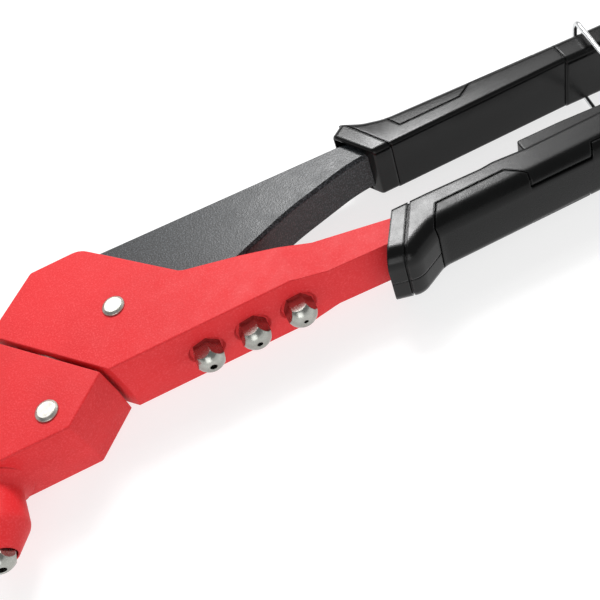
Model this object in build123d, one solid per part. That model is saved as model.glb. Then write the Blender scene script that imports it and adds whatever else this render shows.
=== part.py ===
from build123d import *

import os
from math import cos, radians, sin, sqrt, tan

# Hand riveter with a swivelling head, drawn in millimetres.
# Drawing frame: the lever pivot is at X = Y = 0. +X runs back along the handles, +Y from the fixed
# handle towards the moving one, +Z up through the thickness, with Z = 0 at mid thickness. The handles
# are closed. Every piece is drawn there and moved by TO_PART_FRAME when it is written, which puts the
# part's origin at the nosepiece's mouth. Points given by (s, t) lie s along the swivel axis, measured
# from the foot of the lever pivot on it, and t across it.

# ---- Castings -------------------------------------------------------------------------------------
GRIP_END_X = 200.0              # end of both handles, from the lever pivot
BODY_T = 25.0                  # thickness of the body and head
NECK_T = 18.4                  # thickness of the body's neck, where it becomes the fixed handle
TANG_T = 14.0                  # thickness of the tang inside the fixed grip
DRAFT = 4.0                    # draft of the cast sides, from the parting plane at mid thickness
CAST_EDGE = 0.7                # rounding along the castings' outlines
NECK_START, NECK_FULL = 56.0, 68.0

# ---- Swivel ---------------------------------------------------------------------------------------
AXIS_T = 15.77                 # distance from the lever pivot to the swivel axis
HEAD_HALF_W = 24.25            # half of the head's width across the swivel axis
BODY_FACE_S = -21.5            # body's swivel face
SWIVEL_GAP = 1.83              # gap between body and head
AXLE_R, AXLE_BORE_R = 6.0, 3.3
AXLE_HEAD_R, AXLE_HEAD_L = 8.2, 3.0
AXLE_WALL = 4.2                # body wall that the axle turns in
RUN = 0.05                     # radial clearance of a running fit
WASHER_R = 9.4
PLATE_L = 7.0                  # swivel plate that closes the head and carries the axle
PLATE_HALF_W = 15.0
POCKET_T = 16.4                # width, along Z, of the head's pocket
SLOT_GAP = 0.35                # clearance beside the lever in the body's slot

# ---- Lever ----------------------------------------------------------------------------------------
LEVER_T = 16.6
LEVER_BEVEL = 1.1
LEVER_OPEN = 24.0              # degrees from closed to open
PIN_ARM = 15.95                # lever pivot to rod pin
PIN_R = 2.0
PIVOT_R, PIVOT_HEAD_R, PIVOT_HEAD_H = 3.0, 3.9, 1.2
BUSH_WALL = 1.5
FORK_GAP = 6.8                 # slot in the lever's short arm, for the rod's eye

# ---- Pull rod and bell crank ----------------------------------------------------------------------
ROD_R, EYE_R, EYE_T = 2.5, 4.6, 6.0
PIN_PLAY, PIN_SHIFT = 0.3, 0.4
CRANK_X, CRANK_Y = -29.7, -27.4
CRANK_HUB_R, CRANK_PIN_R = 5.4, 2.6
CRANK_INNER, CRANK_OUTER = 4.8, 7.4        # the crank's two plates, measured from mid thickness
SHORT_ARM, SHORT_REST = 14.3, 13.41
LONG_ARM, LONG_REST = 28.9, 13.41
TIP_R, TIP_GAP = 2.5, 0.3
SPOOL_R, SPOOL_NECK_R, FLANGE_L = 7.0, 4.4, 2.2
CRANK_ARM_W = 2.8              # width of the crank's arms, narrower than their rounded tips

# ---- Nose -----------------------------------------------------------------------------------------
NOSE_X = -58.3
HEAD_BOTTOM_Y = -36.6
HEAD_LEFT_X, HEAD_TOP_Y = -70.0, 4.0
BARREL_R, BARREL_SHOULDER_Y, BARREL_END_Y, BARREL_END_R = 10.5, -52.0, -59.6, 5.9
ROOT_R, ROOT_Y = 13.6, -40.4
CASE_R = 7.0
CASE_FLANGE_R = 6.4            # case's tail, small enough for the crank's arms to pass
CASE_FRONT_Y = -37.5
BORE_FLOOR_Y = -51.2
TIP_Y = -63.8
MANDREL_R = {"4.8": 1.55, "4.0": 1.25, "3.2": 1.0, "2.4": 0.8}
HEX_AF = 9.0                   # nosepiece hexagon across flats
HEX_L, TIP_FLAT_R, TIP_DOME_R = 8.2, 2.4, 5.6
THREAD_R, THREAD_L = 3.9, 4.4
JAW_R, JAW_L, JAW_SET, JAW_SLOPE = 3.22, 6.4, 1.4, 16.0
CASE_MOUTH_R, CASE_HOLLOW_R = 2.9, 5.4
PUSHER_R, PUSHER_L, PUSHER_TAIL_R, TAIL_BORE_R = 4.9, 1.8, 3.2, 1.9
SPRING_WIRE_R, SPRING_R, SPRING_TURNS = 0.45, 2.6, 9
CAP_R, CAP_HEX_AF, CAP_H, CAP_FLOOR_Y = 7.0, 14.0, 6.0, 6.5

# ---- Spare nosepieces -----------------------------------------------------------------------------
SPARE_X, SPARE_PITCH = 21.9, 16.5
BODY_BOTTOM_Y = -23.1
SPARES = [("4.0", 14.0), ("3.2", 9.0), ("2.4", 3.0)]    # mandrel size and the angle it is screwed in at
DISH_R, DISH_DEPTH = 6.8, 1.0

# ---- Grips ----------------------------------------------------------------------------------------
UPPER_HALF_T, LOWER_HALF_T = 11.4, 12.6
UPPER_OUTER_R, UPPER_INNER_R = 3.4, 1.6        # rounding along the grips' far and near edges
LOWER_OUTER_R, LOWER_INNER_R = 6.0, 1.5
COLLAR_R, END_R = 2.2, 4.0
COLLAR_FRONT_R = 1.2           # rounding of the moving grip's collar round its mouth
LUG_WALL, LUG_HALF = 1.3, 5.0  # lug behind the moving grip that the ring's cross wire turns in
SEAM_W, SEAM_D = 0.5, 0.6
PARTING_W = 0.35               # parting line that runs round the fixed grip's flare
PAD_D = 1.6                    # depth of the soft panels let into the grips
MOUTH_GAP = 1.6                # space round the lever in the moving grip's collar
UPPER_END_X = GRIP_END_X - 24.5  # seam of the upper grip's end section

# ---- Latch ----------------------------------------------------------------------------------------
RING_X, RING_Y = GRIP_END_X - 13.2, 25.0   # the ring's cross wire behind the moving grip
RING_LEAN = 7.0                # degrees that the ring leans from square to the handles
RING_L = 42.5
WIRE_R = 0.9
RING_HALF_W = 14.3
RING_CORNER_R = 3.0
HOOKED = -6.0                  # degrees that the ring turns from rest into its catch
CATCH_HALF_T = 12.2
CATCH_LIP = 1.5
CATCH_GAP = 0.4                # space round the ring's wire in the catch

FOREVER = 400.0                # longer than the whole tool, for cutting tools
TO_PART_FRAME = Location((-NOSE_X, -TIP_Y, 0))


# ---- Helpers --------------------------------------------------------------------------------------
def at(s, t):
    """Point in the drawing frame from distances along and across the swivel axis."""
    return ((s - t) / sqrt(2), (s + t) / sqrt(2))


def turned(x, y, angle):
    """Vector (x, y) turned by an angle in degrees, anticlockwise."""
    c, k = cos(radians(angle)), sin(radians(angle))
    return (x * c - y * k, x * k + y * c)


def outline(corners):
    """Closed face through (x, y, r) corners, each rounded with its own radius r."""
    points = [Vector(c[0], c[1]) for c in corners]
    edges = []
    ends = []
    for i, corner in enumerate(corners):
        here, before, after = points[i], points[i - 1], points[(i + 1) % len(points)]
        radius = corner[2] if len(corner) > 2 else 0
        into, out = (before - here).normalized(), (after - here).normalized()
        if radius == 0:
            ends.append((here, here))
            continue
        half = radians(into.get_angle(out)) / 2
        reach = radius / tan(half)
        start, finish = here + into * reach, here + out * reach
        middle = here + (into + out).normalized() * (radius / sin(half) - radius)
        edges.append(ThreePointArc(start, middle, finish))
        ends.append((start, finish))
    for i, (start, finish) in enumerate(ends):
        following = ends[(i + 1) % len(ends)][0]
        if (following - finish).length > 1e-6:
            edges.append(Line(finish, following))
    return make_face(edges)


def slab(face, low, high):
    """Prism on a plan outline, from one height to another."""
    return extrude(Pos(0, 0, low) * face, high - low)


def both_ways(face, half):
    """Prism on a plan outline, as far above mid thickness as below it."""
    return slab(face, -half, half)


def box_st(s0, s1, t0, t1, half):
    """Block lined up with the swivel axis."""
    return both_ways(outline([(*at(s0, t0),), (*at(s1, t0),), (*at(s1, t1),), (*at(s0, t1),)]), half)


def along_axis(s):
    """Plane square to the swivel axis at s, facing the handles."""
    return Plane(origin=(*at(s, AXIS_T), 0), z_dir=(1, 1, 0))


def axis_rod(radius, s0, s1):
    """Cylinder on the swivel axis."""
    return extrude(along_axis(s0) * Circle(radius), s1 - s0)


def nose_plane(y):
    """Plane square to the nose axis at height y, facing away from the mouth."""
    return Plane(origin=(NOSE_X, y, 0), x_dir=(1, 0, 0), z_dir=(0, 1, 0))


def nose_rod(radius, y0, y1):
    """Cylinder on the nose axis."""
    return extrude(nose_plane(y0) * Circle(radius), y1 - y0)


def z_rod(x, y, radius, half):
    """Cylinder through the thickness."""
    return both_ways(Pos(x, y) * Circle(radius), half)


def cast(corners):
    """Block with the given front outline, drafted from its parting plane and rounded at its faces."""
    step = BODY_T / 2 * tan(radians(DRAFT))
    middle = offset(outline(corners), step, kind=Kind.INTERSECTION)
    half = extrude(middle, BODY_T / 2, taper=DRAFT)
    face = half.faces().sort_by(Axis.Z)[-1]
    half = fillet(face.edges(), CAST_EDGE)
    return half + mirror(half, about=Plane.XY)


def beyond(s, side):
    """Large block on one side of the plane across the swivel axis at s."""
    return box_st(s, s + side * FOREVER, -FOREVER, FOREVER, FOREVER)


# ---- Body -----------------------------------------------------------------------------------------
LEFT_T = AXIS_T + HEAD_HALF_W
RIGHT_T = AXIS_T - HEAD_HALF_W

BODY_OUTLINE = [
    (*at(BODY_FACE_S - 12, LEFT_T), 0),
    (-24.7, 31.9, 2.0),
    (-5.5, 31.9, 8.0),
    (24.7, 1.7, 6.0),
    (45.0, -3.8, 20.0),
    (58.0, -8.1, 12.0),
    (98.0, -16.3, 0),
    (92.6, -24.3, 0),
    (66.0, BODY_BOTTOM_Y - 0.2, 30.0),
    (-7.5, BODY_BOTTOM_Y, 0),
    (-16.0, BODY_BOTTOM_Y - 8.5, 0),
]
TANG_OUTLINE = [(88.0, -15.8), (GRIP_END_X - 40, -19.0), (GRIP_END_X - 40, -25.4), (88.0, -23.6)]
SLOT_OUTLINE = [
    (-16.5, 50.0), (90.0, 50.0), (90.0, 10.0), (47.0, -1.6), (5.0, -12.4),
    (-4.0, -12.4), (-13.0, -4.0), (-19.5, 5.0), (-23.0, 17.0), (-16.5, 27.6),
]


def tang():
    return both_ways(outline(TANG_OUTLINE), TANG_T / 2)


def neck_waste(side):
    """Metal above the neck's face, on the upper (side 1) or lower (side -1) face."""
    low, high = side * NECK_T / 2, side * BODY_T / 2
    profile = [(NECK_START, high), (NECK_FULL, low), (120, low), (120, side * 20), (NECK_START, side * 20)]
    face = make_face(Polyline(*[(x, 60, z) for x, z in profile], close=True))
    return extrude(face, 140, dir=(0, -1, 0))


def spare_x(index):
    return SPARE_X + index * SPARE_PITCH


def spare_plane(index, y, angle=0.0):
    """Plane square to a spare nosepiece's axis, facing out of the body and turned about that axis."""
    across = (cos(radians(angle)), 0, sin(radians(angle)))
    return Plane(origin=(spare_x(index), y, 0), x_dir=across, z_dir=(0, -1, 0))


def seat_y():
    """Level of the body's lower edge at mid thickness, where the spare nosepieces seat."""
    return BODY_BOTTOM_Y - BODY_T / 2 * tan(radians(DRAFT))


def body_casting():
    part = cast(BODY_OUTLINE) - neck_waste(1) - neck_waste(-1) + tang()
    part -= beyond(BODY_FACE_S, -1)
    slot_half = LEVER_T / 2 + SLOT_GAP
    part -= both_ways(outline(SLOT_OUTLINE), slot_half)
    part -= box_st(BODY_FACE_S + AXLE_WALL, 4, AXIS_T - AXLE_HEAD_R - 0.4, AXIS_T + AXLE_HEAD_R + 0.4,
                   max(slot_half, AXLE_HEAD_R + 0.4))
    part -= axis_rod(AXLE_R + RUN, BODY_FACE_S - 1, BODY_FACE_S + AXLE_WALL + 1)
    part -= z_rod(0, 0, PIVOT_R, BODY_T)
    for index in range(len(SPARES)):
        seat = spare_plane(index, seat_y() + DISH_DEPTH)
        part -= extrude(seat * Circle(DISH_R - 1.2), DISH_DEPTH + 2, taper=-40)
        part -= extrude(seat * Circle(THREAD_R), -THREAD_L)
    return part


def rivet(x, y, shank_r, head_r):
    """Headed pin through the thickness, with a flat head bevelled at its rim on each side."""
    head = extrude(Pos(x, y, BODY_T / 2) * Circle(head_r), PIVOT_HEAD_H)
    rim = head.faces().sort_by(Axis.Z)[-1].edges()
    head = chamfer(rim, PIVOT_HEAD_H * 0.55, PIVOT_HEAD_H * 0.8)
    return z_rod(x, y, shank_r, BODY_T / 2) + head + mirror(head, about=Plane.XY)


# ---- Lever ----------------------------------------------------------------------------------------
PIN_S = PIN_ARM * sin(radians(LEVER_OPEN / 2))
PIN_T = PIN_ARM * cos(radians(LEVER_OPEN / 2))
PIN_X, PIN_Y = at(PIN_S, PIN_T)

LEVER_OUTLINE = [
    (-2.5, 30.7, 3.0),
    (93.0, 26.7, 0),
    (108.0, 24.0, 0),
    (172.0, 20.6, 0),
    (172.0, 15.2, 0),
    (104.0, 16.2, 10.0),
    (92.0, 15.2, 60.0),
    (66.0, 8.0, 90.0),
    (44.0, -1.0, 30.0),
    (5.0, -10.6, 8.0),
    (-4.5, -10.6, 8.0),
    (-11.0, 0.0, 8.0),
    (-14.4, 13.0, 4.0),
]


def lever():
    part = both_ways(outline(LEVER_OUTLINE), LEVER_T / 2)
    faces = part.faces().sort_by(Axis.Z)
    part = chamfer(faces[-1].edges() + faces[0].edges(), LEVER_BEVEL)
    part -= box_st(-40, PIN_S + EYE_R + 1.2, PIN_T - EYE_R - 0.6, 60, FORK_GAP / 2) & both_ways(
        Circle(PIN_ARM + EYE_R + 2.5), FORK_GAP / 2)
    part -= z_rod(PIN_X, PIN_Y, PIN_R, LEVER_T)
    part -= z_rod(0, 0, PIVOT_R + RUN + BUSH_WALL, LEVER_T)
    return part


def lever_bush():
    return z_rod(0, 0, PIVOT_R + RUN + BUSH_WALL, LEVER_T / 2) - z_rod(0, 0, PIVOT_R + RUN, LEVER_T)


def rod_pin():
    return z_rod(PIN_X, PIN_Y, PIN_R, LEVER_T / 2 - 0.2)


# ---- Swivel ---------------------------------------------------------------------------------------
HEAD_FACE_S = BODY_FACE_S - SWIVEL_GAP
PLATE_FACE_S = HEAD_FACE_S


def swivel_washer():
    return axis_rod(WASHER_R, PLATE_FACE_S, BODY_FACE_S - 0.1) - axis_rod(AXLE_R, PLATE_FACE_S - 1,
            BODY_FACE_S)


def swivel_axle():
    shoulder = BODY_FACE_S + AXLE_WALL + 0.1
    part = axis_rod(AXLE_R, PLATE_FACE_S - PLATE_L, shoulder)
    part += axis_rod(AXLE_HEAD_R, shoulder, shoulder + AXLE_HEAD_L)
    return part - axis_rod(AXLE_BORE_R, PLATE_FACE_S - 20, shoulder + 10)


def swivel_plate():
    part = box_st(PLATE_FACE_S - PLATE_L, PLATE_FACE_S, AXIS_T - PLATE_HALF_W, AXIS_T + PLATE_HALF_W,
            POCKET_T / 2)
    return part - axis_rod(AXLE_R, PLATE_FACE_S - 20, PLATE_FACE_S + 1)


# ---- Pull rod -------------------------------------------------------------------------------------
SPOOL_S = -40.38 + SHORT_ARM * sin(radians(SHORT_REST))
GROOVE = 2 * (TIP_R + TIP_GAP)


def pull_rod():
    part = axis_rod(ROD_R, SPOOL_S - GROOVE / 2 - FLANGE_L, PIN_S)
    eye = both_ways(Pos(*at(PIN_S, AXIS_T)) * Circle(EYE_R), EYE_T / 2)
    hole = Pos(*at(PIN_S, AXIS_T)) * Rot(0, 0, 135) * SlotCenterToCenter(2 * PIN_SHIFT,
            2 * (PIN_R + PIN_PLAY))
    return part + eye - both_ways(hole, EYE_T)


def rod_spool():
    """Flanged nut on the rod's end, whose groove the bell crank's tips sit in."""
    ends = GROOVE / 2 + FLANGE_L
    part = axis_rod(SPOOL_NECK_R, SPOOL_S - ends, SPOOL_S + ends)
    part += axis_rod(SPOOL_R, SPOOL_S - ends, SPOOL_S - GROOVE / 2)
    part += axis_rod(SPOOL_R, SPOOL_S + GROOVE / 2, SPOOL_S + ends)
    return part - axis_rod(ROD_R, SPOOL_S - 20, SPOOL_S + 20)


# ---- Head -----------------------------------------------------------------------------------------
HEAD_OUTLINE = [
    (*at(HEAD_FACE_S + 12, LEFT_T), 0),
    (HEAD_TOP_Y - LEFT_T * sqrt(2), HEAD_TOP_Y, 3.0),
    (HEAD_LEFT_X, HEAD_TOP_Y, 5.0),
    (HEAD_LEFT_X, HEAD_BOTTOM_Y, 3.0),
    (-24.4, HEAD_BOTTOM_Y, 1.6),
    (*at(HEAD_FACE_S + 12, RIGHT_T), 0),
]
POCKET_OUTLINE = [
    (-64.0, -34.4), (-27.9, -34.4),
    at(PLATE_FACE_S - PLATE_L - 3, -4.5), at(PLATE_FACE_S - PLATE_L, AXIS_T - PLATE_HALF_W),
    at(HEAD_FACE_S + 1, AXIS_T - PLATE_HALF_W), at(HEAD_FACE_S + 1, AXIS_T + PLATE_HALF_W),
    at(PLATE_FACE_S - PLATE_L, AXIS_T + PLATE_HALF_W), (-48.0, -12.5), (-64.0, -12.5),
]


def barrel():
    """Nose barrel with a hollowed root, a shoulder and a taper down to the nosepiece."""
    profile = [
        Line((0, HEAD_BOTTOM_Y + 4), (ROOT_R, HEAD_BOTTOM_Y + 4)),
        Line((ROOT_R, HEAD_BOTTOM_Y + 4), (ROOT_R, HEAD_BOTTOM_Y - 0.6)),
        ThreePointArc((ROOT_R, HEAD_BOTTOM_Y - 0.6), (BARREL_R + 0.55, ROOT_Y + 1.4),
                (BARREL_R - 0.3, ROOT_Y)),
        Line((BARREL_R - 0.3, ROOT_Y), (BARREL_R, BARREL_SHOULDER_Y + 1.5)),
        ThreePointArc((BARREL_R, BARREL_SHOULDER_Y + 1.5), (BARREL_R - 0.25, BARREL_SHOULDER_Y + 0.2),
                      (BARREL_R - 0.95, BARREL_SHOULDER_Y - 1.2)),
        Line((BARREL_R - 0.95, BARREL_SHOULDER_Y - 1.2), (BARREL_END_R, BARREL_END_Y)),
        Line((BARREL_END_R, BARREL_END_Y), (0, BARREL_END_Y)),
        Line((0, BARREL_END_Y), (0, HEAD_BOTTOM_Y + 4)),
    ]
    part = Pos(NOSE_X, 0, 0) * revolve(make_face(profile), Axis.Y)
    return part & Pos(NOSE_X, -45, 0) * Box(60, 60, BODY_T - 0.8)


def head_casting():
    part = cast(HEAD_OUTLINE) - beyond(HEAD_FACE_S, 1) + barrel()
    part -= both_ways(outline(POCKET_OUTLINE), POCKET_T / 2)
    part -= both_ways(outline([(NOSE_X - TIP_R - 0.6, -37.1), (NOSE_X + 6.0, -37.1), (NOSE_X + 6.0, -34.0),
                               (NOSE_X - TIP_R - 0.6, -34.0)]), CRANK_OUTER + 0.4)
    part -= nose_rod(CASE_R + RUN, BORE_FLOOR_Y, HEAD_TOP_Y - 16)
    part -= nose_rod(THREAD_R, BARREL_END_Y - 1, BORE_FLOOR_Y + 1)
    part -= nose_rod(HEX_AF / sqrt(3) + 0.15, BARREL_END_Y - 1, TIP_Y + HEX_L)
    part -= nose_rod(CAP_R, HEAD_TOP_Y - 18, HEAD_TOP_Y + 1) + nose_rod(CAP_R + 2, HEAD_TOP_Y, HEAD_TOP_Y + 5)
    return part - z_rod(CRANK_X, CRANK_Y, CRANK_PIN_R, BODY_T)


def arm(start, end, width, tip_r):
    """Flat arm between two points, with a rounded tip at its end."""
    (x0, y0), (x1, y1) = start, end
    dx, dy = x1 - x0, y1 - y0
    length = sqrt(dx * dx + dy * dy)
    nx, ny = -dy / length * width / 2, dx / length * width / 2
    bar = outline([(x0 + nx, y0 + ny), (x0 - nx, y0 - ny), (x1 - nx, y1 - ny), (x1 + nx, y1 + ny)])
    return bar + Pos(x1, y1) * Circle(tip_r)


def bell_crank():
    short = turned(-SHORT_ARM / sqrt(2), SHORT_ARM / sqrt(2), -SHORT_REST)
    long = turned(-LONG_ARM, 0, -LONG_REST)
    pivot = (CRANK_X, CRANK_Y)
    plan = Pos(*pivot) * Circle(CRANK_HUB_R)
    plan += arm(pivot, (CRANK_X + short[0], CRANK_Y + short[1]), CRANK_ARM_W, TIP_R)
    plan += arm(pivot, (CRANK_X + long[0], CRANK_Y + long[1]), CRANK_ARM_W, TIP_R)
    web = outline([pivot, (CRANK_X + short[0] * 0.5, CRANK_Y + short[1] * 0.5),
                   (CRANK_X + long[0] * 0.5, CRANK_Y + long[1] * 0.5)])
    plan += web
    part = slab(plan, CRANK_INNER, CRANK_OUTER) + slab(plan, -CRANK_OUTER, -CRANK_INNER)
    part += z_rod(CRANK_X, CRANK_Y, CRANK_HUB_R, CRANK_OUTER)
    return part - z_rod(CRANK_X, CRANK_Y, CRANK_PIN_R + RUN, BODY_T)


def hex_nose(plane, mandrel_r):
    """Nosepiece on a plane facing out of its socket: threaded shank, hexagon and domed tip."""
    hexagon = extrude(plane * RegularPolygon(HEX_AF / 2, 6, major_radius=False), HEX_L)
    dome_at = HEX_L - sqrt(TIP_DOME_R ** 2 - TIP_FLAT_R ** 2)
    dome = plane.location * (Pos(0, 0, dome_at) * Sphere(TIP_DOME_R))
    root = extrude(plane * Circle(HEX_AF), dome_at)
    part = (hexagon & (dome + root)) + extrude(plane * Circle(THREAD_R), -THREAD_L)
    return part - extrude(plane.offset(-THREAD_L - 1) * Circle(mandrel_r), HEX_L + THREAD_L + 2)


def nosepiece():
    """Nosepiece fitted in the barrel's end."""
    seat = Plane(origin=(NOSE_X, TIP_Y + HEX_L, 0), x_dir=(1, 0, 0), z_dir=(0, -1, 0))
    return hex_nose(seat, MANDREL_R["4.8"])


GROOVE_Y = CRANK_Y + LONG_ARM * sin(radians(LONG_REST))
CASE_BACK_Y = GROOVE_Y + GROOVE / 2 + FLANGE_L
TAIL_END_Y = CASE_BACK_Y + 3.0


def jaw_case():
    """Sleeve with the jaws' cone in its front and the groove for the crank's tips at its back."""
    front = GROOVE_Y - GROOVE / 2
    part = nose_rod(CASE_R, CASE_FRONT_Y, front - 3) + nose_rod(CASE_FLANGE_R, front - 3, front)
    part += nose_rod(SPOOL_NECK_R, front, CASE_BACK_Y) + nose_rod(CASE_FLANGE_R, front + GROOVE, CASE_BACK_Y)
    part -= extrude(nose_plane(CASE_FRONT_Y) * Circle(CASE_MOUTH_R), 8, taper=-JAW_SLOPE)
    part -= nose_rod(CASE_HOLLOW_R, CASE_FRONT_Y + 8, front - 1.6)
    return part - nose_rod(PUSHER_TAIL_R + 0.3, CASE_FRONT_Y + 8, CASE_BACK_Y + 1)


def jaw(side):
    """Half of the split cone that grips the mandrel."""
    start = CASE_FRONT_Y + JAW_SET
    cone = extrude(nose_plane(start) * Circle(JAW_R), JAW_L, taper=-JAW_SLOPE)
    cone -= nose_rod(1.3, start - 1, start + JAW_L + 1)
    for row in range(4):
        tooth_y = start + 1.0 + row * 1.2
        cone -= nose_rod(1.7, tooth_y, tooth_y + 0.5)
    keep = Pos(NOSE_X + side * 10.2, start + JAW_L / 2, 0) * Box(20, 20, 20)
    return cone & keep


def jaw_pusher():
    """Flanged tube that presses the jaws into their cone and lets spent mandrels out at the back."""
    seat = CASE_FRONT_Y + JAW_SET + JAW_L
    part = nose_rod(PUSHER_R, seat, seat + PUSHER_L) + nose_rod(PUSHER_TAIL_R, seat, TAIL_END_Y)
    return part - nose_rod(TAIL_BORE_R, seat - 1, TAIL_END_Y + 1)


def jaw_spring():
    """Coil spring behind the jaw pusher, drawn at its length with the handles closed."""
    start = TAIL_END_Y + SPRING_WIRE_R
    length = CAP_FLOOR_Y - SPRING_WIRE_R - start
    path = Helix(pitch=length / SPRING_TURNS, height=length, radius=SPRING_R)
    wire = sweep(Plane(origin=path @ 0, z_dir=path % 0) * Circle(SPRING_WIRE_R), path)
    return Pos(NOSE_X, start, 0) * Rot(-90, 0, 0) * wire


def rear_cap():
    """Screwed hexagon cap that closes the head behind the jaws, with the mandrel's way out."""
    part = nose_rod(CAP_R, HEAD_TOP_Y - 6, HEAD_TOP_Y)
    hexagon = extrude(nose_plane(HEAD_TOP_Y) * RegularPolygon(CAP_HEX_AF / 2, 6, major_radius=False), CAP_H)
    rim = hexagon.faces().sort_by(Axis.Y)[-1].edges()
    part += chamfer(rim, 0.8)
    part -= nose_rod(SPRING_R + SPRING_WIRE_R + 0.5, HEAD_TOP_Y - 7, CAP_FLOOR_Y)
    return part - nose_rod(TAIL_BORE_R, 0, HEAD_TOP_Y + CAP_H + 1)


# ---- Grips ----------------------------------------------------------------------------------------
UPPER_FRONT = ((92.2, 29.2), (101.6, 12.8))    # plan line of the collar's slanting front
UPPER_SEAM = ((97.6, 32.4), (107.9, 12.8))
UPPER_SPLIT = 18.5                             # level between the outer and inner edges' rounding
UPPER_COLLAR = [
    (80.0, 19.7, 3.0),
    (98.2, 33.8, 3.0),
    (104.5, 29.7, 12.0),
    (125.0, 28.0, 0),
    (125.0, 12.8, 0),
    (80.0, 12.8, 3.0),
]
UPPER_SHELL = [
    (90.0, 39.1, 0),
    (104.5, 29.7, 12.0),
    (112.0, 27.1, 20.0),
    (150.0, 24.9, 60.0),
    (GRIP_END_X + 30, 20.6, 0),
    (GRIP_END_X + 30, 12.8, 0),
    (90.0, 12.8, 0),
]
UPPER_END = [
    (150.0, 24.9, 0),
    (GRIP_END_X + 30, 20.6, 0),
    (GRIP_END_X + 30, 9.6, 0),
    (GRIP_END_X - 24, 11.9, 12.0),
    (150.0, 13.2, 0),
]
UPPER_PAD = [
    (105.0, 40.0), (114.9, 19.6), (137.8, 19.2), (143.6, 23.2), (168.4, 22.4), (170.6, 40.0),
]
LOWER_FRONT = ((84.9, -32.8), (95.7, -14.4))
LOWER_SEAM = ((90.5, -33.4), (101.3, -14.4))
LOWER_SPLIT = -21.0
LOWER_SHAPE = [
    (76.0, -14.2, 0),
    (108.0, -14.4, 40.0),
    (127.0, -15.1, 8.0),
    (131.5, -14.7, 8.0),
    (142.0, -15.6, 0),
    (GRIP_END_X + 30, -15.6, 0),
    (GRIP_END_X + 30, -29.0, 0),
    (105.0, -29.6, 9.0),
    (94.2, -35.6, 7.0),
    (76.0, -30.6, 0),
]
LOWER_PAD = [
    (106.0, -60.0), (104.2, -28.4), (108.6, -20.9), (132.7, -20.9), (138.0, -25.6), (137.4, -29.0),
    (GRIP_END_X - 40.6, -29.0), (GRIP_END_X - 39, -25.8), (GRIP_END_X - 10, -25.8), (GRIP_END_X - 9, -60.0),
]


def straight_cut(front, side):
    """Everything ahead of (side -1) or behind (side 1) the line through two plan points."""
    (x0, y0), (x1, y1) = front
    run = (x1 - x0) / (y1 - y0)
    high, low = (x1 + (80 - y1) * run, 80), (x1 - (80 + y1) * run, -80)
    return both_ways(outline([high, low, (low[0] + side * FOREVER, low[1]),
            (high[0] + side * FOREVER, high[1])]),
                     FOREVER)


def seam_slot(line, width, within):
    """Narrow slot along a plan line, as deep as it stands outside the form within."""
    (x0, y0), (x1, y1) = line
    run = (x1 - x0) / (y1 - y0)
    high, low = (x1 + (80 - y1) * run, 80), (x1 - (80 + y1) * run, -80)
    return both_ways(outline([high, low, (low[0] + width, low[1]), (high[0] + width, high[1])]),
            FOREVER) - within


def rounded(corners, half, radius, inset):
    """Prism on a plan outline, drawn in by a depth, with its rims rounded."""
    face = outline(corners)
    if inset:
        face = offset(face, -inset, kind=Kind.INTERSECTION)
    block = both_ways(face, half - inset)
    top, bottom = block.faces().sort_by(Axis.Z)[-1], block.faces().sort_by(Axis.Z)[0]
    return fillet(top.edges() + bottom.edges(), max(radius - inset, 0.4))


def grip_form(corners, half, split_y, side, radii, inset=0.0):
    """Grip with one rounding on its outer edges, another on its inner edges and a rounded end.

    side is 1 where the outer edges are above the level split_y, and -1 where they are below it.
    """
    outer = both_ways(outline([(0, split_y), (FOREVER, split_y), (FOREVER, split_y + side * 100),
                               (0, split_y + side * 100)]), FOREVER)
    form = (rounded(corners, half, radii[0], inset) & outer) + (rounded(corners, half, radii[1],
            inset) - outer)
    end, deep = GRIP_END_X - inset, 60.0
    plan = outline([(0, -deep), (end, -deep), (end, deep), (0, deep)])
    side_view = Plane.XZ * outline([(0, half + 1), (end - 2, half + 1), (end, half - END_R),
            (end, END_R - half),
                                    (end - 2, -half - 1), (0, -half - 1)])
    return form & both_ways(plan, half + 2) & (extrude(side_view, 2 * deep, both=True))


def upper_form(inset=0.0):
    return grip_form(UPPER_SHELL, UPPER_HALF_T, UPPER_SPLIT, 1, (UPPER_OUTER_R, UPPER_INNER_R), inset)


def upper_end_form(inset=0.0):
    return grip_form(UPPER_END, UPPER_HALF_T, UPPER_SPLIT, 1, (UPPER_OUTER_R, 2.6), inset)


def lower_form(inset=0.0):
    return grip_form(LOWER_SHAPE, LOWER_HALF_T, LOWER_SPLIT, -1, (LOWER_OUTER_R, LOWER_INNER_R), inset)


def pad_prism(corners, grow=0.0):
    face = outline(corners)
    return both_ways(offset(face, grow, kind=Kind.INTERSECTION) if grow else face, FOREVER)


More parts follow.
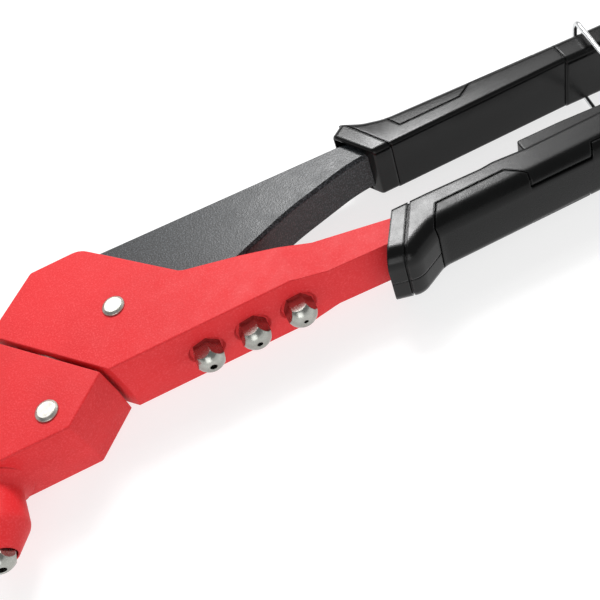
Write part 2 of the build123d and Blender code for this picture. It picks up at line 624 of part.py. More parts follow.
def build_upper_grip():
    """Collar, shell, soft panel and end section of the moving handle's grip."""
    shell_form, under_seam = upper_form(), upper_form(SEAM_D)
    collar_form = rounded(UPPER_COLLAR, UPPER_HALF_T, COLLAR_R, 0)
    mouth = both_ways(outline([(80.0, 27.0 + MOUTH_GAP), (98.0, 26.6 + MOUTH_GAP), (99.6, 16.2 - MOUTH_GAP),
                               (80.0, 13.4 - MOUTH_GAP)]), LEVER_T / 2 + MOUTH_GAP)
    core = lever() + mouth
    pad = (shell_form & pad_prism(UPPER_PAD)) - upper_form(PAD_D)
    pad_gap = pad_prism(UPPER_PAD, SEAM_W) - under_seam
    lug_r = WIRE_R + LUG_WALL
    web = outline([(RING_X - lug_r, RING_Y), (RING_X + lug_r, RING_Y), (RING_X + lug_r, RING_Y - 5),
            (RING_X - lug_r, RING_Y - 5)])
    lug = z_rod(RING_X, RING_Y, lug_r, LUG_HALF) + both_ways(web, LUG_HALF)
    end_line = ((UPPER_END_X, 40.0), (UPPER_END_X, 0.0))
    collar = collar_form - straight_cut(UPPER_FRONT, -1)
    collar = fillet(collar.faces().sort_by(Axis.X)[0].edges(), COLLAR_FRONT_R) - straight_cut(UPPER_SEAM,
            1) - core
    shell = shell_form - straight_cut(UPPER_SEAM, -1) - straight_cut(end_line, 1)
    shell = shell - seam_slot(UPPER_SEAM, SEAM_W, under_seam) - pad - pad_gap - core
    end = upper_end_form() - straight_cut(end_line, -1)
    end = end - seam_slot(end_line, SEAM_W, upper_end_form(SEAM_D)) + lug
    end -= z_rod(RING_X, RING_Y, WIRE_R + RUN, LUG_HALF + 1)
    return {"upper_collar": collar, "upper_grip_shell": shell, "upper_grip_pad": pad, "upper_grip_end": end}


def build_lower_grip():
    """Collar, shell and soft panel of the fixed handle's grip."""
    form, under_seam = lower_form(), lower_form(SEAM_D)
    core = body_casting() + catch_space()
    pad = (form & pad_prism(LOWER_PAD)) - lower_form(PAD_D)
    pad_gap = pad_prism(LOWER_PAD, SEAM_W) - under_seam
    collar = form - straight_cut(LOWER_FRONT, -1) - straight_cut(LOWER_SEAM, 1) - core
    shell = form - straight_cut(LOWER_SEAM, -1) - seam_slot(LOWER_SEAM, 2 * SEAM_W, under_seam)
    parting = both_ways(outline([(76, -40), (108, -40), (108, -26), (76, -26)]), PARTING_W / 2) - under_seam
    shell = shell - pad - pad_gap - core - parting
    return {"lower_collar": collar - parting, "lower_grip_shell": shell, "lower_grip_pad": pad}


# ---- Latch ----------------------------------------------------------------------------------------
def ring_foot(swing):
    """Plan position of the ring's lower wire after a swing, in degrees."""
    x, y = turned(0, -RING_L, swing - RING_LEAN)
    return (RING_X + x, RING_Y + y)


FOOT_X, FOOT_Y = ring_foot(0)
HOOK_X, HOOK_Y = ring_foot(HOOKED)
MOUTH_X = FOOT_X - WIRE_R - CATCH_GAP
SLOT_X = HOOK_X - WIRE_R - CATCH_GAP
LIP_Y = HOOK_Y + WIRE_R + CATCH_GAP
FLOOR_Y = FOOT_Y - WIRE_R - CATCH_GAP
CATCH_X, CATCH_SEAT_Y = GRIP_END_X - 57.7, -16.8
TENON_X0, TENON_X1, TENON_D, TENON_HALF = GRIP_END_X - 38, GRIP_END_X - 28, 2.6, 6.0


def catch_tenon():
    return both_ways(outline([(TENON_X0, CATCH_SEAT_Y - TENON_D), (TENON_X1, CATCH_SEAT_Y - TENON_D),
                              (TENON_X1, CATCH_SEAT_Y + 0.5), (TENON_X0, CATCH_SEAT_Y + 0.5)]), TENON_HALF)


def catch_space():
    """Room taken from the fixed grip by the catch bar and by the swing of the ring's wire."""
    far = GRIP_END_X + 5
    return catch_tenon() + both_ways(outline([
        (CATCH_X, CATCH_SEAT_Y), (SLOT_X, CATCH_SEAT_Y), (SLOT_X, FLOOR_Y), (far, FLOOR_Y), (far,
                0), (CATCH_X, 0)]),
        FOREVER)


def latch_catch():
    """Catch bar along the fixed grip, with a hook that the ring's lower wire swings into."""
    top_y = LIP_Y + CATCH_LIP
    part = both_ways(outline([
        (CATCH_X, -11.6, 1.0), (CATCH_X + 15.7, -12.0, 60.0), (MOUTH_X, top_y, 0.6), (MOUTH_X, LIP_Y,
                0.6), (SLOT_X, LIP_Y, 0.6),
        (SLOT_X, CATCH_SEAT_Y), (CATCH_X, CATCH_SEAT_Y)]), CATCH_HALF_T)
    rims = part.faces().sort_by(Axis.Z)[-1].edges() + part.faces().sort_by(Axis.Z)[0].edges()
    return chamfer(rims, 0.35) + catch_tenon()


def latch_ring():
    """Closed wire ring round the moving grip, drawn leaning by RING_LEAN."""
    loop = RectangleRounded(2 * RING_HALF_W, RING_L, RING_CORNER_R).wire()
    wire = sweep(Plane(origin=loop @ 0, z_dir=loop % 0) * Circle(WIRE_R), loop)
    upright = Pos(0, -RING_L / 2, 0) * Rot(0, 90, 0) * wire
    return Pos(RING_X, RING_Y, 0) * Rot(0, 0, -RING_LEAN) * upright


# ---- Whole tool -----------------------------------------------------------------------------------
def build():
    parts = {
        "body_casting": body_casting(),
        "pivot_rivet": rivet(0, 0, PIVOT_R, PIVOT_HEAD_R),
        "lever": lever(),
        "lever_bush": lever_bush(),
        "rod_pin": rod_pin(),
        "pull_rod": pull_rod(),
        "rod_spool": rod_spool(),
        "swivel_axle": swivel_axle(),
        "swivel_washer": swivel_washer(),
        "swivel_plate": swivel_plate(),
        "head_casting": head_casting(),
        "crank_rivet": rivet(CRANK_X, CRANK_Y, CRANK_PIN_R, PIVOT_HEAD_R),
        "bell_crank": bell_crank(),
        "nosepiece_4_8": nosepiece(),
        "jaw_case": jaw_case(),
        "jaw_left": jaw(-1),
        "jaw_right": jaw(1),
        "jaw_pusher": jaw_pusher(),
        "jaw_spring": jaw_spring(),
        "rear_cap": rear_cap(),
        "latch_catch": latch_catch(),
        "latch_ring": latch_ring(),
    }
    for index, (size, angle) in enumerate(SPARES):
        name = "nosepiece_" + size.replace(".", "_")
        parts[name] = hex_nose(spare_plane(index, seat_y() + DISH_DEPTH, angle), MANDREL_R[size])
    parts.update(build_upper_grip())
    parts.update(build_lower_grip())
    return parts


if __name__ == "__main__":
    os.makedirs("parts", exist_ok=True)
    for name, shape in build().items():
        export_step(TO_PART_FRAME * shape, "parts/" + name + ".step")
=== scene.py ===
"""Looks of a hand riveter.

Finishes on the castings, mechanism and grips, a wound jaw spring, floor, lights and camera.
"""

import logging
import math
from dataclasses import dataclass
from enum import Enum
from typing import Any, Optional

import bmesh
import bpy
import numpy as np
from mathutils import Matrix, Vector

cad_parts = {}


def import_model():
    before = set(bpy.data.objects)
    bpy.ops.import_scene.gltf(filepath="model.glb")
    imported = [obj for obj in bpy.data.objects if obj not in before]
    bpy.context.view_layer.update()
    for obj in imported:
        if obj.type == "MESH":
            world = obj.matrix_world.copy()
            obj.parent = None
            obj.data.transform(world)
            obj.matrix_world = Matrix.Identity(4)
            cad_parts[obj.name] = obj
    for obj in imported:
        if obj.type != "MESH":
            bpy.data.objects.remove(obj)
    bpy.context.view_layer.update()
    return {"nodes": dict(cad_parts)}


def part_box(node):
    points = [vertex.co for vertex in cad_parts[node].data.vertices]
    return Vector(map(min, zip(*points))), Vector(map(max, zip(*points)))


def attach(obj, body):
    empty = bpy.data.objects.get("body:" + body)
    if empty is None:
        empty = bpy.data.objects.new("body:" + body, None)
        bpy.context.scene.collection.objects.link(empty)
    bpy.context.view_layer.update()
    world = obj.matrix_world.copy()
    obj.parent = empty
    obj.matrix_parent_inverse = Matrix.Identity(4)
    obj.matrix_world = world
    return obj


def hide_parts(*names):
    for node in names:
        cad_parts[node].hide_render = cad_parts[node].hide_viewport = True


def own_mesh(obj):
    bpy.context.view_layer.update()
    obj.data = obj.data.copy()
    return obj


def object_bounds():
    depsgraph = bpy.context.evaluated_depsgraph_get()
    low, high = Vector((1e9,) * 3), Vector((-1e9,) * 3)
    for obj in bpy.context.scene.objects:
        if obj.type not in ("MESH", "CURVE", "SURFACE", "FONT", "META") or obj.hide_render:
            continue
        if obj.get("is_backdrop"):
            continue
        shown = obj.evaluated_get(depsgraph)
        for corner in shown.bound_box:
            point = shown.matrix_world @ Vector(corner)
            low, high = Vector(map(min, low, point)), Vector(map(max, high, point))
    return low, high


log = logging.getLogger("riveter")
MM = 0.001

# Noise lies mostly between these, which stand for none and all of what it drives.
PATCH_FROM, PATCH_TO = 0.35, 0.65
RUBBED_FROM, RUBBED_TO = 0.3, 0.7
RUBBED_PER_METRE = 140.0        # rubbed places along a metre of surface
FLECK_FROM, FLECK_FROM_DROP = 0.62, 0.3     # noise where a fleck starts, and its drop with their amount
FLECK_TO, FLECK_TO_DROP = 0.78, 0.2         # noise where a fleck is full, and its drop with their amount
FLECK_LEAST = 0.25              # strength of the faintest flecks
PIT_SHARE = 0.8                 # pits of spark erosion, next to its grain's count
EDGE_SAMPLES = 6                # rays that round off an edge
COAT_ROUGHNESS = 0.25
PLASTIC_IOR = 1.5
WELD_REACH = 1e-6               # metres within which a node's points are one
STEPS_PER_TURN = 32             # along a wound wire
WIRE_SIDES = 14                 # round a wound wire

Tree = bpy.types.NodeTree
Material = bpy.types.Material
Piece = bpy.types.Object
Links = dict[str | int, Any]
Triple = tuple[float, float, float]
Lamp = tuple[Triple, float, tuple[float, float], float]


# ---- Colour and nodes ------------------------------------------------------------------------------
def linear(code: str, alpha: float = 1.0) -> tuple[float, float, float, float]:
    """Turns an sRGB hex colour into linear light.

    Args:
        code: Colour as six hex digits.
        alpha: Opacity that goes with it.

    Returns:
        Red, green, blue and alpha for a Blender socket.
    """
    parts = [int(code[i:i + 2], 16) / 255 for i in (0, 2, 4)]
    red, green, blue = (p / 12.92 if p <= 0.04045 else ((p + 0.055) / 1.055) ** 2.4 for p in parts)
    return red, green, blue, alpha


def add(tree: Tree, kind: str, links: Optional[Links] = None, values: Optional[Links] = None,
        **settings: Any) -> Any:
    """Adds one node with its settings, its constant inputs and the links into it.

    Args:
        tree: Node tree that the node goes into.
        kind: Node type without its ShaderNode prefix.
        links: Output sockets, by the name or number of the input that each feeds.
        values: Constants, by the name or number of their input.
        **settings: Properties of the node itself.

    Returns:
        The new node.
    """
    node = tree.nodes.new("ShaderNode" + kind)
    for name, setting in settings.items():
        setattr(node, name, setting)
    for key, constant in (values or {}).items():
        node.inputs[key].default_value = constant
    for key, socket in (links or {}).items():
        tree.links.new(socket, node.inputs[key])
    return node


# ---- Finishes --------------------------------------------------------------------------------------
class Grain(Enum):
    """How the small relief of a surface lies."""

    ORANGE_PEEL = "orange peel"
    SPECKLED = "speckled"
    SPARK_ERODED = "spark eroded"
    TURNED = "turned"
    DRAWN = "drawn"


# Scale of the pattern's place along X, Y and Z. A small one draws the pattern out into lines along that axis.
LINES = {Grain.TURNED: (0.06, 1.0, 0.06), Grain.DRAWN: (0.04, 1.0, 1.0)}


@dataclass(frozen=True)
class Finish:
    """A real material with the way that its surface was made.

    Attributes:
        name: Common name of the material and its process.
        colour: Main colour, sRGB hex.
        deep: Colour of the darker patches of the slow variation, sRGB hex.
        fleck: Colour of the fine flecks or the rubbed places, sRGB hex.
        metallic: 1 for bare metal, 0 for paint and plastic.
        roughness: Middle of the roughness.
        rough_swing: How far the roughness goes either way.
        grain: How the relief lies.
        grain_mm: Spacing of the relief.
        relief_mm: Height of the relief.
        patch_mm: Width of the slow colour patches.
        fleck_amount: Share of the surface that shows flecks.
        coat: Weight of a clear gloss over the colour.
        specular: Specular level of a coat or plastic.
        edge_mm: Radius that the light sees on the piece's edges.
    """

    name: str
    colour: str
    deep: str
    fleck: str
    metallic: float
    roughness: float
    rough_swing: float
    grain: Grain
    grain_mm: float
    relief_mm: float
    patch_mm: float
    fleck_amount: float
    coat: float = 0.0
    specular: float = 0.5
    edge_mm: float = 0.45

    def relief(self, tree: Tree, place: Any) -> Any:
        """Height pattern of the surface.

        Args:
            tree: Node tree to build in.
            place: Socket with the place on the piece, in metres.

        Returns:
            Socket with the height between 0 and 1.
        """
        per_metre = 1.0 / (self.grain_mm * MM)
        if self.grain in LINES:
            stretched = add(tree, "Mapping", {"Vector": place}, {"Scale": LINES[self.grain]})
            return add(tree, "TexNoise", {"Vector": stretched.outputs[0]},
                       {"Scale": per_metre, "Detail": 4.0, "Roughness": 0.65}).outputs["Fac"]
        if self.grain is Grain.SPECKLED:
            cells = add(tree, "TexVoronoi", {"Vector": place}, {"Scale": per_metre, "Randomness": 1.0})
            return cells.outputs["Distance"]
        noise = add(tree, "TexNoise", {"Vector": place},
                    {"Scale": per_metre, "Detail": 3.0, "Roughness": 0.6})
        if self.grain is Grain.SPARK_ERODED:
            cells = add(tree, "TexVoronoi", {"Vector": place},
                        {"Scale": per_metre * PIT_SHARE, "Randomness": 1.0})
            return add(tree, "Math", {0: noise.outputs["Fac"], 1: cells.outputs["Distance"]},
                       operation="MULTIPLY").outputs[0]
        return noise.outputs["Fac"]

    def build(self) -> Material:
        """Builds the material: slow patches, fine flecks, rubbed places that shine more or less, and relief.

        Returns:
            The finished material.
        """
        material = bpy.data.materials.new(self.name)
        material.use_nodes = True
        tree = material.node_tree
        tree.nodes.clear()
        place = add(tree, "TexCoord").outputs["Object"]
        patches = add(tree, "TexNoise", {"Vector": place},
                      {"Scale": 1.0 / (self.patch_mm * MM), "Detail": 4.0, "Roughness": 0.55})
        even = add(tree, "MapRange", {"Value": patches.outputs["Fac"]},
                   {"From Min": PATCH_FROM, "From Max": PATCH_TO})
        ground = add(tree, "Mix", {"Factor": even.outputs["Result"]},
                     {6: linear(self.deep), 7: linear(self.colour)}, data_type="RGBA")
        specks = add(tree, "TexNoise", {"Vector": place},
                     {"Scale": 1.0 / (self.grain_mm * MM), "Detail": 2.0, "Roughness": 0.7})
        picked = add(tree, "MapRange", {"Value": specks.outputs["Fac"]},
                     {"From Min": FLECK_FROM - FLECK_FROM_DROP * self.fleck_amount,
                      "From Max": FLECK_TO - FLECK_TO_DROP * self.fleck_amount,
                      "To Max": min(1.0, FLECK_LEAST + self.fleck_amount)})
        tinted = add(tree, "Mix", {"Factor": picked.outputs["Result"], 6: ground.outputs[2]},
                     {7: linear(self.fleck)}, data_type="RGBA")
        rubbed = add(tree, "TexNoise", {"Vector": place},
                     {"Scale": RUBBED_PER_METRE, "Detail": 5.0, "Roughness": 0.7})
        rough = add(tree, "MapRange", {"Value": rubbed.outputs["Fac"]},
                    {"From Min": RUBBED_FROM, "From Max": RUBBED_TO,
                     "To Min": self.roughness - self.rough_swing,
                     "To Max": self.roughness + self.rough_swing})
        edges = add(tree, "Bevel", values={"Radius": self.edge_mm * MM}, samples=EDGE_SAMPLES)
        bump = add(tree, "Bump", {"Height": self.relief(tree, place), "Normal": edges.outputs["Normal"]},
                   {"Strength": 1.0, "Distance": self.relief_mm * MM})
        shader = add(tree, "BsdfPrincipled",
                     {"Base Color": tinted.outputs[2], "Roughness": rough.outputs["Result"],
                      "Normal": bump.outputs["Normal"]},
                     {"Metallic": self.metallic, "Coat Weight": self.coat, "Coat Roughness": COAT_ROUGHNESS})
        if not self.metallic:
            shader.inputs["IOR"].default_value = PLASTIC_IOR
            shader.inputs["Specular IOR Level"].default_value = self.specular
        add(tree, "OutputMaterial", {"Surface": shader.outputs["BSDF"]})
        return material


class Coatings(Enum):
    """Every finish on the tool, named for the real material and how it was made."""

    # Die-cast aluminium under fine-textured powder coat: an even, matt red with a faint sparkle of grain, a
    # touch darker in slow patches. The texture is about 0.25 mm and is drawn at 0.62 mm so that it shows.
    RED_CASTING = Finish("red_powder_coated_die_cast_aluminium", "DA292D", "D4262A", "E4484C", 0.0, 0.56,
                         0.06, Grain.ORANGE_PEEL, 0.62, 0.090, 26.0, 0.40, specular=0.26)
    # The same casting where a cutter faced it for the washer: thinner paint, slightly smoother.
    RED_HEAD = Finish("red_powder_coated_head_casting", "D8282C", "D12529", "E2464A", 0.0, 0.54, 0.06,
                      Grain.ORANGE_PEEL, 0.62, 0.090, 18.0, 0.40, specular=0.28)
    # Steel pressing under hammered grey enamel: silver flecks in a dark grey, with a soft broken gloss. The
    # flecks are drawn a little coarser than they are, at 0.55 mm, so that they show.
    LEVER_ENAMEL = Finish("grey_hammer_enamelled_steel", "16181A", "131517", "5C6166", 0.0, 0.36, 0.06,
                          Grain.SPECKLED, 0.55, 0.034, 14.0, 0.45, specular=0.36)
    # Moulded ABS from a spark-eroded mould: satin black, grey only where a light lies in it. The erosion is
    # about 0.08 mm and is drawn at 0.3 mm.
    BLACK_ABS = Finish("black_moulded_abs", "070808", "050505", "0F1011", 0.0, 0.21, 0.06,
                       Grain.SPARK_ERODED, 0.30, 0.020, 22.0, 0.20, specular=0.25, edge_mm=0.9)
    # Softer thermoplastic rubber let into the grips: blacker and duller than the shell round it.
    BLACK_RUBBER = Finish("black_overmoulded_rubber", "060707", "040404", "0D0E0E", 0.0, 0.27, 0.06,
                          Grain.SPARK_ERODED, 0.40, 0.028, 18.0, 0.20, specular=0.21, edge_mm=0.7)
    # Nickel over turned steel: bright and cool, with hair-fine rings from the lathe.
    NICKEL_TURNED = Finish("nickel_plated_turned_steel", "D9DADB", "C6C8CA", "EDEEEF", 1.0, 0.20, 0.06,
                           Grain.TURNED, 0.35, 0.006, 9.0, 0.20)
    # Zinc over turned steel, passivated: greyer and duller than nickel, with rings from the lathe.
    ZINC_TURNED = Finish("zinc_plated_turned_steel", "B2B3AD", "9C9D97", "C9CAC5", 1.0, 0.25, 0.06,
                         Grain.TURNED, 0.35, 0.008, 6.0, 0.25)
    # The swivel's washer: bright zinc, tumbled, so that it shines softly in the gap.
    BRIGHT_WASHER = Finish("bright_zinc_tumbled_washer", "F1F1EE", "E2E2DF", "FAFAF8", 1.0, 0.46, 0.05,
                           Grain.ORANGE_PEEL, 0.60, 0.006, 6.0, 0.20)
    # Headed rivets: nickel that is pressed smooth by the snap tool, faintly mottled.
    NICKEL_HEADED = Finish("nickel_plated_headed_rivet", "C9C7BF", "AFADA6", "E6E4DC", 1.0, 0.34, 0.10,
                           Grain.ORANGE_PEEL, 1.1, 0.030, 4.0, 0.25, edge_mm=0.6)
    # Drawn wire with bright plating, its lines running along it.
    NICKEL_WIRE = Finish("nickel_plated_drawn_wire", "DCDDDE", "CDCFD0", "F2F2F2", 1.0, 0.17, 0.05,
                         Grain.DRAWN, 0.30, 0.004, 8.0, 0.15)
    # Hardened and oiled steel of the inner mechanism: darker, with brown-grey clouds from heat treatment.
    HARDENED_STEEL = Finish("oiled_hardened_steel", "8E8D8B", "6F6D6A", "A9A7A3", 1.0, 0.34, 0.08,
                            Grain.TURNED, 0.40, 0.010, 7.0, 0.25)
    # Spring wire: blued, close to dark grey.
    SPRING_STEEL = Finish("blued_spring_wire", "5B5E66", "43464D", "7C8088", 1.0, 0.30, 0.06,
                          Grain.DRAWN, 0.30, 0.006, 5.0, 0.20)
    # Sintered bronze of the lever's bush, warm and a little open-pored.
    BRONZE_BUSH = Finish("oil_filled_sintered_bronze", "A87B4A", "8C6238", "C69A66", 1.0, 0.42, 0.07,
                         Grain.SPECKLED, 0.35, 0.008, 5.0, 0.30)


class Paints:
    """Keeps one built material for each coating."""

    def __init__(self) -> None:
        """Starts with nothing built."""
        self.built: dict[Coatings, Material] = {}

    def get(self, coating: Coatings) -> Material:
        """Returns the material of a coating, building it the first time."""
        if coating not in self.built:
            self.built[coating] = coating.value.build()
        return self.built[coating]


# ---- Surfaces --------------------------------------------------------------------------------------
def grid_piece(name: str, points: np.ndarray, wrap_rows: bool, wrap_columns: bool,
               cap: bool = False) -> Piece:
    """Makes a mesh from a grid of points.

    A face joins each point with its neighbours one step on in both parameters.

    Args:
        name: Name of the new piece.
        points: Array of rows x columns x 3, in metres.
        wrap_rows: Joins the last row to the first.
        wrap_columns: Joins the last column to the first.
        cap: Closes the first and the last row with one face each.

    Returns:
        The new object, at the origin.
    """
    rows, columns = points.shape[:2]
    r = np.arange(rows if wrap_rows else rows - 1)[:, None]
    c = np.arange(columns if wrap_columns else columns - 1)[None, :]
    r1, c1 = (r + 1) % rows, (c + 1) % columns
    corners = np.broadcast_arrays(r * columns + c, r * columns + c1, r1 * columns + c1, r1 * columns + c)
    faces = np.stack(corners, axis=-1).reshape(-1, 4).tolist()
    if cap:
        faces.append(list(range(columns))[::-1])
        faces.append(list(range((rows - 1) * columns, rows * columns)))
    mesh = bpy.data.meshes.new(name)
    mesh.from_pydata(points.reshape(-1, 3).tolist(), [], faces)
    mesh.validate()
    if cap:
        shape = bmesh.new()
        shape.from_mesh(mesh)
        bmesh.ops.recalc_face_normals(shape, faces=shape.faces)
        shape.to_mesh(mesh)
        shape.free()
    mesh.polygons.foreach_set("use_smooth", np.ones(len(mesh.polygons), bool))
    mesh.update()
    piece = bpy.data.objects.new(name, mesh)
    bpy.context.scene.collection.objects.link(piece)
    return piece


def coil(start: np.ndarray, length: float, radius: float, wire: float, turns: float) -> np.ndarray:
    """Works out the surface of a wire wound round an axis along Y, with closed turns at both ends.

    The wire's centre is (R cos a, y0 + L (t - sin(2 pi t) / (2 pi)), R sin a), where a is t times the whole
    turn, so that the pitch dies away at the ends. A circle of the wire's radius is carried along it, square
    to its run.

    Args:
        start: Middle of the first turn, in metres.
        length: Distance between the first and the last turn's centres.
        radius: Radius R of the coil at the wire's centre.
        wire: Radius of the wire.
        turns: Number of turns.

    Returns:
        Grid of points, one row for each step along the wire.
    """
    t = np.linspace(0, 1, int(turns * STEPS_PER_TURN) + 1)
    angle = 2 * np.pi * turns * t
    rise = length * (t - np.sin(2 * np.pi * t) / (2 * np.pi))
    centre = start + np.stack([radius * np.cos(angle), rise, radius * np.sin(angle)], axis=-1)
    run = np.gradient(centre, axis=0)
    run /= np.linalg.norm(run, axis=1, keepdims=True)
    out = np.stack([np.cos(angle), np.zeros_like(t), np.sin(angle)], axis=-1)
    side = np.cross(run, out)
    v = np.linspace(0, 2 * np.pi, WIRE_SIDES, endpoint=False)[None, :, None]
    return centre[:, None, :] + wire * (np.cos(v) * out[:, None, :] + np.sin(v) * side[:, None, :])


# ---- Sub-assemblies --------------------------------------------------------------------------------
@dataclass
class Dresser:
    """What every sub-assembly shares: the nodes of the frame, the finishes and the way to dress a node.

    Attributes:
        nodes: CAD nodes by name.
        paints: Materials of the finishes.
        crease_deg: Angle past which an edge stays sharp.
    """

    nodes: dict[str, Piece]
    paints: Paints
    crease_deg: float = 32.0

    def dress(self, name: str, coating: Coatings) -> None:
        """Gives a CAD node its finish and smooth shading that stays sharp at its edges.

        Args:
            name: Name of the CAD node.
            coating: Finish that it gets.
        """
        node = self.nodes[name]
        node.data.materials.clear()
        node.data.materials.append(self.paints.get(coating))
        node.data.polygons.foreach_set("material_index", np.zeros(len(node.data.polygons), np.int32))
        node.data.polygons.foreach_set("use_smooth", np.ones(len(node.data.polygons), bool))
        weld = node.modifiers.new("join_triangles", "WELD")
        weld.merge_threshold = WELD_REACH
        split = node.modifiers.new("keep_edges", "EDGE_SPLIT")
        split.split_angle = math.radians(self.crease_deg)
        log.info("dressed %s in %s", name, coating.value.name)

    def centre(self, name: str) -> tuple[Vector, Vector, Vector]:
        """Returns the middle, the lowest and the highest corner of a CAD node."""
        low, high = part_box(name)
        return (low + high) / 2, low, high


@dataclass
class Castings(Dresser):
    """Body, with its rivets, and the swivelling head."""

    def dress_all(self) -> None:
        """Paints both castings and plates their rivets."""
        self.dress("body_casting", Coatings.RED_CASTING)
        self.dress("head_casting", Coatings.RED_HEAD)
        for rivet in ("pivot_rivet", "crank_rivet"):
            self.dress(rivet, Coatings.NICKEL_HEADED)


@dataclass
class Nosepieces(Dresser):
    """The fitted nosepiece and the three spares on the body.

    Attributes:
        sizes: Rivet sizes in millimetres, as the nodes' names end.
    """

    sizes: tuple[str, ...] = ("4_8", "4_0", "3_2", "2_4")

    def dress_all(self) -> None:
        """Plates the four nosepieces in zinc."""
        for size in self.sizes:
            self.dress("nosepiece_" + size, Coatings.ZINC_TURNED)


@dataclass
class Mechanism(Dresser):
    """Lever, rod, crank, jaws and the swivel.

    Attributes:
        wire: Radius of the jaw spring's wire, in metres.
        turns: Number of turns of the jaw spring.
        release: How far the spring closes up, a little past the jaws' own 2.5 mm, in metres; not used.
    """

    wire: float = 0.45 * MM
    turns: float = 9.0
    release: float = 2.6 * MM

    def wind_spring(self) -> None:
        """Winds the spring that presses the jaws forward, at its resting length."""
        middle, low, high = self.centre("jaw_spring")
        length = high.y - low.y - 2 * self.wire
        points = coil(np.array([middle.x, low.y + self.wire, middle.z]), length,
                      (high.x - low.x) / 2 - self.wire, self.wire, self.turns)
        spring = grid_piece("wound_jaw_spring", points, False, True, cap=True)
        spring.data.materials.append(self.paints.get(Coatings.SPRING_STEEL))
        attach(spring, "head")
        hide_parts("jaw_spring")
        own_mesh(spring)
        log.info("wound the jaw spring, %d faces", len(spring.data.polygons))

    def dress_all(self) -> None:
        """Enamels the lever, plates what shows and leaves the inner pieces in oiled steel."""
        self.wind_spring()
        self.dress("lever", Coatings.LEVER_ENAMEL)
        self.dress("lever_bush", Coatings.BRONZE_BUSH)
        self.dress("swivel_washer", Coatings.BRIGHT_WASHER)
        self.dress("rear_cap", Coatings.NICKEL_TURNED)
        self.dress("jaw_spring", Coatings.SPRING_STEEL)
        for name in ("rod_pin", "pull_rod", "rod_spool", "swivel_axle", "swivel_plate", "bell_crank",
                     "jaw_case", "jaw_left", "jaw_right", "jaw_pusher"):
            self.dress(name, Coatings.HARDENED_STEEL)


@dataclass
class Grips(Dresser):
    """Moulded grips of both handles, their soft panels, and the latch."""

    def dress_all(self) -> None:
        """Moulds the shells in ABS, the panels in rubber, and plates the ring."""
        for name in ("upper_collar", "upper_grip_shell", "upper_grip_end", "lower_collar", "lower_grip_shell",
                     "latch_catch"):
            self.dress(name, Coatings.BLACK_ABS)
        for name in ("upper_grip_pad", "lower_grip_pad"):
            self.dress(name, Coatings.BLACK_RUBBER)
        self.dress("latch_ring", Coatings.NICKEL_WIRE)


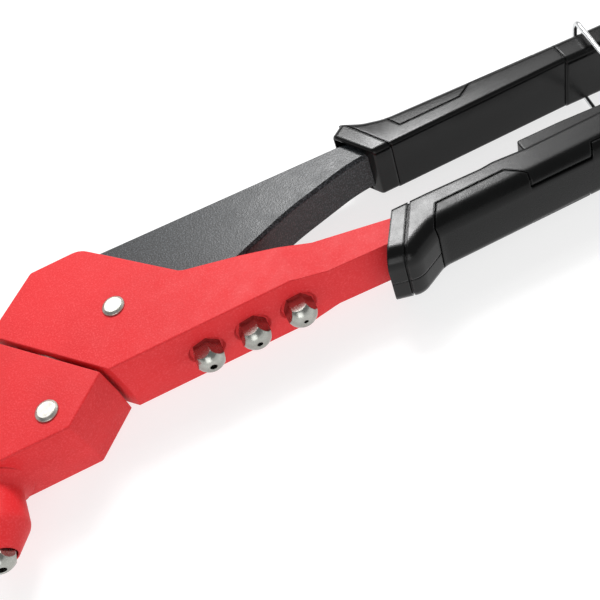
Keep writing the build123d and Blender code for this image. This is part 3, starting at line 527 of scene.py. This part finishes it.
# ---- Floor, lights, camera -------------------------------------------------------------------------
@dataclass
class Studio:
    """Pale floor, soft lights and the camera.

    Attributes:
        floor_half: Half of the paper's side, in metres.
        floor_gap: Gap between the tool and the paper, in metres.
        floor_points: Points along each side of the paper.
        sweep_start: Distance at which the paper begins to rise, in metres.
        sweep_rise: Height of the paper at its sides, in metres.
        fibres_per_metre: Scale of the paper's faint mottling.
        paper_tones: Darkest and palest reflectance of the paper.
        paper_roughness: Roughness of the paper.
        paper_glow: Even light that the paper adds, which keeps it near white.
        middle: Point that the lights look at, in metres.
        key: Direction, distance, size and watts of the main light, above the far side.
        grip: The same of the light that lies in the grips' upper faces.
        fill: The same of the light on the near side.
        sky_strength: Strength of the even light all round.
        lens_mm: Focal length of the camera.
        sensor_mm: Width of its sensor.
        near: Nearest distance that it sees, in metres.
        camera_at: Its place, in metres.
        camera_right: Direction of its right side.
        camera_up: Direction of its top.
    """

    floor_half: float = 2.4
    floor_gap: float = 0.0004
    floor_points: int = 81
    sweep_start: float = 1.3
    sweep_rise: float = 0.9
    fibres_per_metre: float = 60.0
    paper_tones: tuple[float, float] = (0.33, 0.35)
    paper_roughness: float = 0.95
    paper_glow: float = 0.74
    middle: Triple = (0.12, 0.02, 0.0)
    key: Lamp = ((0.05, 0.61, 0.79), 0.85, (0.90, 0.42), 3.7)
    grip: Lamp = ((0.16, 0.56, 0.66), 0.88, (0.26, 0.18), 4.8)
    fill: Lamp = ((-0.3, -0.9, 0.45), 1.0, (0.6, 0.6), 2.6)
    sky_strength: float = 0.28
    lens_mm: float = 50.81
    sensor_mm: float = 36.0
    near: float = 0.01
    camera_at: Triple = (0.108125, -0.127527, 0.219981)
    camera_right: Triple = (0.89838861, -0.36032214, -0.25112916)
    camera_up: Triple = (0.43859591, 0.70600991, 0.55604283)

    def floor(self) -> None:
        """Lays a paper floor just under the tool, flat in the middle and swept up far away on every side.

        Height = level + rise (3 t^2 - 2 t^3), where t goes from 0 at the start of the sweep to 1 at the
        paper's side.
        """
        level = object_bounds()[0].z - self.floor_gap
        u = np.linspace(-self.floor_half, self.floor_half, self.floor_points)
        x, y = np.meshgrid(u, u, indexing="ij")
        t = np.clip((np.hypot(x, y) - self.sweep_start) / (self.floor_half - self.sweep_start), 0, 1)
        z = level + self.sweep_rise * t * t * (3 - 2 * t)
        floor = grid_piece("studio_floor", np.stack([x, y, z], axis=-1), False, False)
        material = bpy.data.materials.new("white_seamless_paper")
        material.use_nodes = True
        tree = material.node_tree
        tree.nodes.clear()
        place = add(tree, "TexCoord").outputs["Object"]
        fibres = add(tree, "TexNoise", {"Vector": place}, {"Scale": self.fibres_per_metre, "Detail": 3.0})
        tone = add(tree, "MapRange", {"Value": fibres.outputs["Fac"]},
                   {"To Min": self.paper_tones[0], "To Max": self.paper_tones[1]})
        shader = add(tree, "BsdfPrincipled", {"Base Color": tone.outputs["Result"]},
                     {"Roughness": self.paper_roughness, "Emission Color": (1, 1, 1, 1),
                      "Emission Strength": self.paper_glow})
        shader.inputs["Specular IOR Level"].default_value = 0.0
        add(tree, "OutputMaterial", {"Surface": shader.outputs["BSDF"]})
        floor.data.materials.append(material)
        floor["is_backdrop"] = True

    def light(self, name: str, toward: Triple, distance: float, size: tuple[float, float],
              power: float) -> None:
        """Hangs a rectangular soft light that looks at the tool's middle.

        Args:
            name: Name of the light.
            toward: Direction from the tool to the light.
            distance: Metres from the tool.
            size: Width and height, in metres.
            power: Watts.
        """
        data = bpy.data.lights.new(name, "AREA")
        data.shape, data.energy = "RECTANGLE", power
        data.size, data.size_y = size
        lamp = bpy.data.objects.new(name, data)
        way = Vector(toward).normalized()
        lamp.location = Vector(self.middle) + way * distance
        lamp.rotation_euler = way.to_track_quat("Z", "Y").to_euler()
        bpy.context.scene.collection.objects.link(lamp)
        log.info("hung light %s", name)

    def sky(self) -> None:
        """Surrounds the tool with an even pale light."""
        world = bpy.data.worlds.new("pale_studio")
        world.use_nodes = True
        background = world.node_tree.nodes["Background"]
        background.inputs["Color"].default_value = (1.0, 1.0, 1.0, 1.0)
        background.inputs["Strength"].default_value = self.sky_strength
        bpy.context.scene.world = world
        bpy.context.scene.view_settings.view_transform = "Standard"

    def camera(self) -> None:
        """Sets the camera on the tool from above its near side."""
        data = bpy.data.cameras.new("camera")
        data.lens, data.sensor_width, data.clip_start = self.lens_mm, self.sensor_mm, self.near
        camera = bpy.data.objects.new("camera", data)
        right, up = Vector(self.camera_right), Vector(self.camera_up)
        turn = Matrix((right, up, right.cross(up))).transposed().to_4x4()
        camera.matrix_world = Matrix.Translation(self.camera_at) @ turn
        bpy.context.scene.collection.objects.link(camera)
        bpy.context.scene.camera = camera

    def build(self) -> None:
        """Builds the whole studio."""
        self.floor()
        self.sky()
        self.light("key_softbox", *self.key)
        self.light("grip_softbox", *self.grip)
        self.light("front_fill", *self.fill)
        self.camera()


def main() -> None:
    """Dresses every sub-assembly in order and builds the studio."""
    logging.basicConfig(level=logging.INFO, format="%(name)s: %(message)s")
    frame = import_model()
    paints = Paints()
    for group in (Castings, Nosepieces, Mechanism, Grips):
        group(frame["nodes"], paints).dress_all()
        log.info("finished %s", group.__name__)
    Studio().build()


if __name__ == "__main__":
    main()
